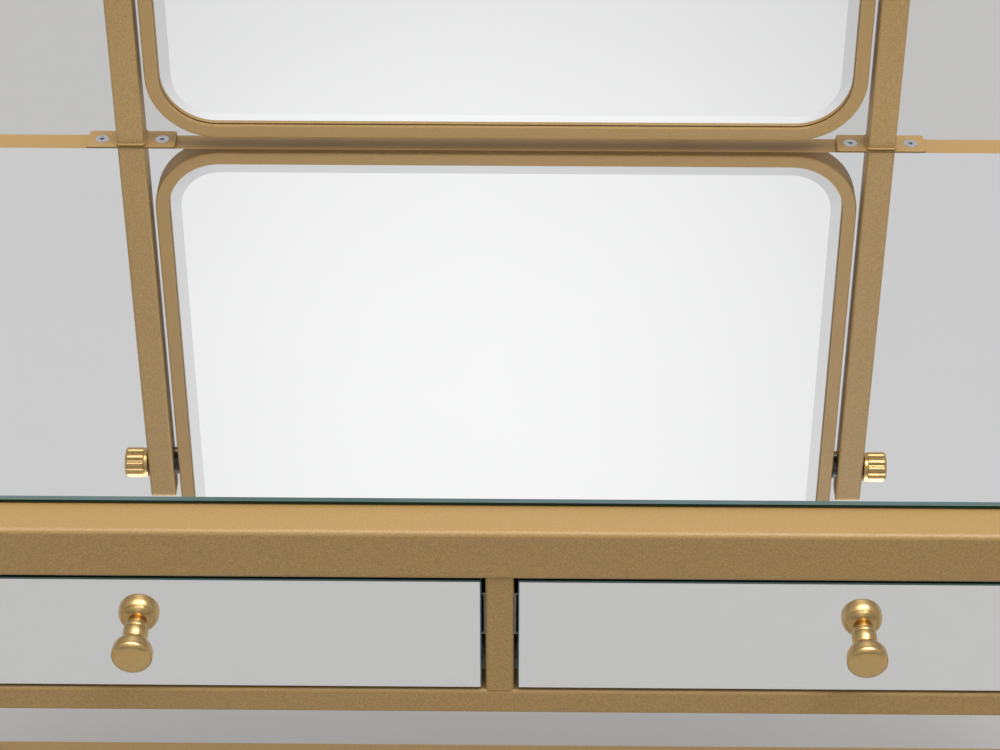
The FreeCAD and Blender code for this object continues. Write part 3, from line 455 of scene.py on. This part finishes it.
def roundedBar(node, axis, corner):
    low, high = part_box(node)
    name = node.title().replace("_", "")
    bar = addBlock(name[0].lower() + name[1:], low, high)
    bevelEdges(bar, alongAxis(axis), tubeStyle[corner], tubeStyle["rounds"])
    if node.startswith("top_rail"):
        cutMitres(bar, axis)
    else:
        bevelEdges(bar, endingAt(axis, (low[axis], high[axis])), tubeStyle["endEase"], tubeStyle["endRounds"])
    smooth(bar)
    finishPiece(bar, "table", "gold_powder_coat", materials["goldCoat"], node)


for node, (axis, corner) in bars.items():
    roundedBar(node, axis, corner)

# weld beads where the side stretchers meet the legs and the posts meet their plates
bead = {"stand": 1.5 * mm, "postStand": 0.9 * mm, "height": 2.4 * mm, "rounds": 3, "ease": 0.4, "crease": 60}


def weldBead(name, low, high, axis, end, corner, stand=bead["stand"]):
    # a rounded collar round the end of a bar
    low, high = Vector(low), Vector(high)
    for side in range(3):
        low[side] -= stand
        high[side] += stand
    low[axis], high[axis] = end - bead["height"] / 2, end + bead["height"] / 2
    collar = addBlock(name, low, high)
    bevelEdges(collar, alongAxis(axis), corner + stand, tubeStyle["rounds"])
    bevelEdges(collar, lambda edge: edge.is_manifold and edge.calc_face_angle() > radians(bead["crease"]),
               bead["height"] * bead["ease"], bead["rounds"])
    smooth(collar, bead["crease"])
    finishPiece(collar, "table", "gold_powder_coat", materials["goldCoat"])


capLow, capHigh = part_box("post_caps")
postDepth = capHigh[1] - capLow[1]
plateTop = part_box("post_screws")[1][2]
postSpans = {"left": (capLow[0], capLow[0] + postDepth), "right": (capHigh[0] - postDepth, capHigh[0])}
for side, (postLow, postHigh) in postSpans.items():
    low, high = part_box(f"side_stretcher_{side}")
    weldBead(f"{side}FrontBead", low, high, 1, low[1] + bead["height"] / 2, tubeStyle["barCorner"])
    weldBead(f"{side}RearBead", low, high, 1, high[1] - bead["height"] / 2, tubeStyle["barCorner"])
    weldBead(f"{side}PostBead", (postLow, capLow[1], plateTop), (postHigh, capHigh[1], plateTop),
             2, plateTop + bead["height"] / 2, tubeStyle["postCorner"], bead["postStand"])
print("frame bars made")


# mirror glass of the top and the drawer fronts
topGlass = {"radius": 8 * mm, "rounds": 12, "arris": 1.7 * mm, "backArris": 0.5 * mm, "crease": 30}
frontGlass = {"radius": 1 * mm, "rounds": 4, "arris": 0.8 * mm, "backArris": 0.2 * mm, "crease": 30}
# from the polished face round to the painted back, the arris carrying a painted reflection of the sky, and
# the leans at which the next finish starts
sheetZones = {"finishes": ("mirrorSilver", "glassArrisPaintedSkyReflection", "glassEdge", "backPaint"),
              "leans": (0.95, 0.2, -0.2)}


def paintZones(sheet, axis, sign, zones):
    for name in zones["finishes"]:
        sheet.data.materials.append(materials[name])
    for polygon in sheet.data.polygons:
        lean = polygon.normal[axis] * sign
        polygon.material_index = sum(lean <= limit for limit in zones["leans"])


def glassSheet(name, node, axis, sign, style):
    # a sheet with its polished face towards one side
    low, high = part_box(node)
    sheet = addBlock(name, low, high)
    bevelEdges(sheet, alongAxis(axis), style["radius"], style["rounds"])
    startEdit(sheet)
    for side, size in ((sign, style["arris"]), (-sign, style["backArris"])):
        pick("FACE", facing(axis, side))
        bpy.ops.mesh.bevel(offset=size, segments=1, affect="EDGES")
    endEdit()
    paintZones(sheet, axis, sign, sheetZones)
    smooth(sheet, style["crease"])
    return sheet


topMirror = glassSheet("topMirror", "mirror_top", 2, 1, topGlass)
finishPiece(topMirror, "table", "mirror_silver", None, "mirror_top")
for side in ("left", "right"):
    frontNode = f"{side}_drawer_front_mirror"
    frontMirror = glassSheet(f"{side}FrontMirror", frontNode, 1, -1, frontGlass)
    finishPiece(frontMirror, f"{side}_drawer", "mirror_silver", None, frontNode)
print("mirror sheets made")


# turned knobs
def turnPiece(name, start, axis, sign, rings, segments, flutes=None):
    # a disc at the start is drawn out along the axis, ring by ring of reach and radius
    choose(None)
    lie = {0: (0, sign * pi / 2, 0), 1: (-sign * pi / 2, 0, 0)}[axis]
    bpy.ops.mesh.primitive_circle_add(vertices=segments, radius=rings[0][1], fill_type="NGON",
                                      location=start, rotation=lie)
    bpy.ops.object.transform_apply(location=True, rotation=True, scale=True)
    bpy.ops.object.mode_set(mode="EDIT")
    bpy.ops.mesh.select_all(action="SELECT")
    centre = Vector(start)
    for (reach, radius), (nextReach, nextRadius) in zip(rings, rings[1:]):
        step = Vector((0, 0, 0))
        step[axis] = sign * (nextReach - reach)
        centre = centre + step
        bpy.ops.mesh.extrude_region_move(TRANSFORM_OT_translate={"value": step})
        grow = nextRadius / radius
        bpy.ops.transform.resize(value=(grow, grow, grow), center_override=centre)
        if flutes and abs(nextReach - flutes["from"]) < near["touch"]:
            cutFlutes(centre, axis, nextRadius, flutes)
    bpy.ops.mesh.select_all(action="SELECT")
    bpy.ops.mesh.normals_make_consistent(inside=False)
    endEdit()
    return settle(name)


def cutFlutes(centre, axis, radius, flutes):
    # draws evenly spaced stretches of the selected ring towards its middle
    mesh = bmesh.from_edit_mesh(bpy.context.object.data)
    others = [side for side in range(3) if side != axis]
    for vertex in mesh.verts:
        if vertex.select:
            out = vertex.co - centre
            turn = atan2(out[others[1]], out[others[0]]) * flutes["count"]
            depth = flutes["depth"] * max(0.0, cos(turn)) ** flutes["narrowness"]
            vertex.co -= out.normalized() * depth
    bmesh.update_edit_mesh(bpy.context.object.data)


def arc(start, end, fromTurn, toTurn, steps):
    # part of an oval between two rings, from its first turn to its last in degrees
    first, last = radians(fromTurn), radians(toTurn)
    spanAcross, spanAlong = cos(last) - cos(first), sin(last) - sin(first)
    points = []
    for step in range(1, steps + 1):
        turn = first + (last - first) * step / steps
        along = (sin(turn) - sin(first)) / spanAlong
        across = (cos(turn) - cos(first)) / spanAcross
        points.append((start[0] + (end[0] - start[0]) * along, start[1] + (end[1] - start[1]) * across))
    return points


# in millimetres, and each curve is its first turn, its last turn and its steps
pull = {"foot": 8.0, "footEase": 0.5, "footRim": 1.3, "footCurve": (0, 90, 9),
        "neck": 5.4, "waist": 8.0, "neckRun": 1.5, "shoulder": 13.0, "shoulderCurve": (-90, 0, 10),
        "rimStart": 18.5, "rimEnd": 21.5, "rimCurve": (0, 70, 8),
        "face": 9.0, "faceDrop": 0.8, "faceCurve": (40, 90, 6), "centre": 0.4,
        "reach": 26.0, "segments": 56, "crease": 50}


def drawerPull(side):
    low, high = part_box(f"{side}_drawer_knob")
    foot = (pull["footRim"], pull["foot"])
    waist = (pull["waist"], pull["neck"])
    shoulder = (pull["rimStart"], pull["shoulder"])
    rimEnd = (pull["rimEnd"], pull["shoulder"])
    face = (pull["reach"] - pull["faceDrop"], pull["face"])
    rings = [(0, pull["foot"] - pull["footEase"]), (pull["footEase"], pull["foot"]), foot]
    rings += arc(foot, waist, *pull["footCurve"])
    rings += [(pull["waist"] + pull["neckRun"], pull["neck"])]
    rings += arc(rings[-1], shoulder, *pull["shoulderCurve"])[:-1]
    rings += [shoulder, rimEnd]
    rings += arc(rimEnd, face, *pull["rimCurve"])
    rings += arc(face, (pull["reach"], pull["centre"]), *pull["faceCurve"])
    start = ((low[0] + high[0]) / 2, high[1], (low[2] + high[2]) / 2)
    rings = [(reach * mm, radius * mm) for reach, radius in rings]
    piece = turnPiece(f"{side}DrawerPull", start, 1, -1, rings, pull["segments"])
    smooth(piece, pull["crease"])
    finishPiece(piece, f"{side}_drawer", "gold_plating", materials["goldPlate"], f"{side}_drawer_knob")


for side in ("left", "right"):
    drawerPull(side)

# in millimetres, with each reach and end measured outwards from the inner end of the stud
grip = {"stud": 3.0, "studEase": 0.4, "tip": 0.5, "studReach": 30.8,
        "collar": 11.6, "collarEase": 0.5, "collarEnd": 33.6, "groove": 0.4,
        "width": 12.0, "flutesMiddle": (38.4, 42.4), "flutesEnd": 46.4,
        "rim": 2.6, "rimCurve": (0, 90, 6), "reach": 48.8,
        "dish": 6.0, "dishRim": 0.6, "dishDepth": 0.5, "centre": 0.6, "segments": 96, "crease": 45,
        "flutes": {"count": 8, "depth": 1.35 * mm, "narrowness": 1.5, "from": 34.4 * mm}}


def tiltKnob(side, sign):
    low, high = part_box(f"tilt_knob_{side}")
    inner = high[0] if sign < 0 else low[0]
    start = (inner, (low[1] + high[1]) / 2, (low[2] + high[2]) / 2)
    fluteEnd = (grip["flutesEnd"], grip["width"])
    face = (grip["reach"], grip["width"] - grip["rim"])
    groove, collarEase, floor = grip["groove"], grip["collarEase"], grip["reach"] - grip["dishDepth"]
    rings = [(0, grip["stud"] - grip["studEase"]), (grip["tip"], grip["stud"])]
    rings += [(grip["studReach"], grip["stud"]), (grip["studReach"], grip["collar"] - collarEase)]
    rings += [(grip["studReach"] + collarEase, grip["collar"]), (grip["collarEnd"], grip["collar"])]
    rings += [(grip["collarEnd"] + groove, grip["collar"] - groove)]
    rings += [(grip["collarEnd"] + groove * 2, grip["width"])]
    rings += [(reach, grip["width"]) for reach in grip["flutesMiddle"]] + [fluteEnd]
    rings += arc(fluteEnd, face, *grip["rimCurve"])
    rings += [(grip["reach"], grip["dish"] + grip["dishRim"]), (floor, grip["dish"]), (floor, grip["centre"])]
    rings = [(reach * mm, radius * mm) for reach, radius in rings]
    piece = turnPiece(f"{side}TiltKnob", start, 0, sign, rings, grip["segments"], grip["flutes"])
    smooth(piece, grip["crease"])
    finishPiece(piece, f"{side}_tilt_knob", "gold_plating", materials["goldPlate"], f"tilt_knob_{side}")


for side, sign in (("left", -1), ("right", 1)):
    tiltKnob(side, sign)
print("knobs made")


# bevelled glass of the dressing mirror, silvered over its face and bevel
lookingGlass = {"radius": 43 * mm, "rounds": 20, "bevel": 12 * mm, "drop": 0.8 * mm, "seam": 0.4 * mm,
                "faceDepth": 0.1 * mm, "wallLean": 0.1, "crease": 2}
lookingZones = {"finishes": ("mirrorSilver", "glassEdge", "backPaint"), "leans": (0.5, -0.2)}


def makeLookingGlass():
    low, high = (Vector(corner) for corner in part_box("mirror_glass"))
    glass = addBlock("lookingGlass", low, high)
    bevelEdges(glass, alongAxis(1), lookingGlass["radius"], lookingGlass["rounds"])

    def outline(edge):
        # the rim of the polished side, where it meets the walls
        atFace = all(vertex.co.y < low.y + lookingGlass["faceDepth"] for vertex in edge.verts)
        return atFace and any(len(face.verts) == 4 and abs(face.normal.y) < lookingGlass["wallLean"]
                              for face in edge.link_faces)

    startEdit(glass)
    pick("FACE", facing(1, -1))
    bpy.ops.mesh.inset(thickness=lookingGlass["bevel"], depth=0)
    pick("EDGE", outline)
    bpy.ops.transform.translate(value=(0, lookingGlass["drop"], 0))
    pick("FACE", facing(1, 1))
    bpy.ops.mesh.bevel(offset=lookingGlass["seam"], segments=1, affect="EDGES")
    endEdit()
    paintZones(glass, 1, -1, lookingZones)
    smooth(glass, lookingGlass["crease"])
    finishPiece(glass, "dressing_mirror", "mirror_silver", None, "mirror_glass")


makeLookingGlass()
print("looking glass made")
